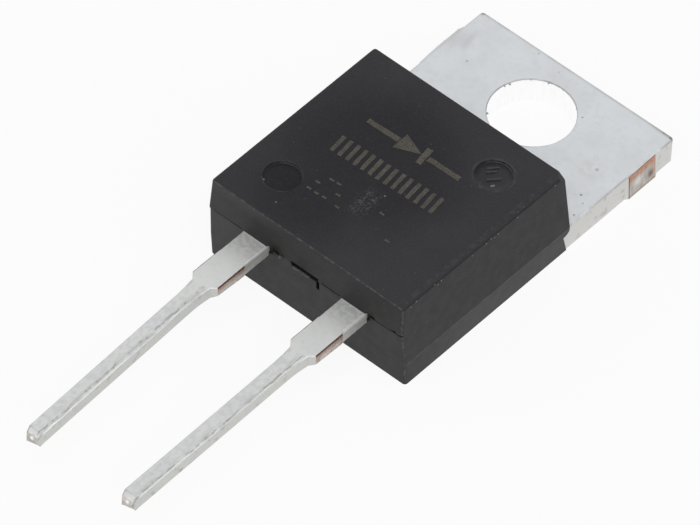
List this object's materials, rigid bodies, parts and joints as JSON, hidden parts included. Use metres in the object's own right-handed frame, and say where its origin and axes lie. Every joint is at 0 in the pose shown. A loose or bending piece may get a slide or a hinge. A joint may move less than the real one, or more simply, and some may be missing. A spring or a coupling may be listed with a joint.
{
  "type": "schottky diode",
  "caption": "Power Schottky diode in a flat black moulded package, with a drilled metal heat-sink tab at one end and a pair of straight leads at the other.",
  "frame": {"origin": "centre of the tab's mounting hole, on the heat-sink face that the part lies on", "axes": "+Y from the leads to the end of the tab, +Z out of the marked face, +X to the right of the marked face with the leads pointing down"},
  "size_m": [0.0102, 0.0296, 0.0045],
  "materials": {
    "black_epoxy": "matt moulded epoxy, dusty, with scuffs",
    "tinned_copper": "satin tin plating over copper, bare copper where it was sheared",
    "die": "polished semiconductor",
    "solder": "dull solder",
    "bond_wire": "bright drawn wire"
  },
  "bodies": {
    "root": {"moulded_body": "black_epoxy", "cathode_frame": "tinned_copper", "anode_lead": "tinned_copper", "silicon_carbide_die": "die", "die_solder": "solder", "bond_wire_1": "bond_wire", "bond_wire_2": "bond_wire"}
  },
  "joints": []
}
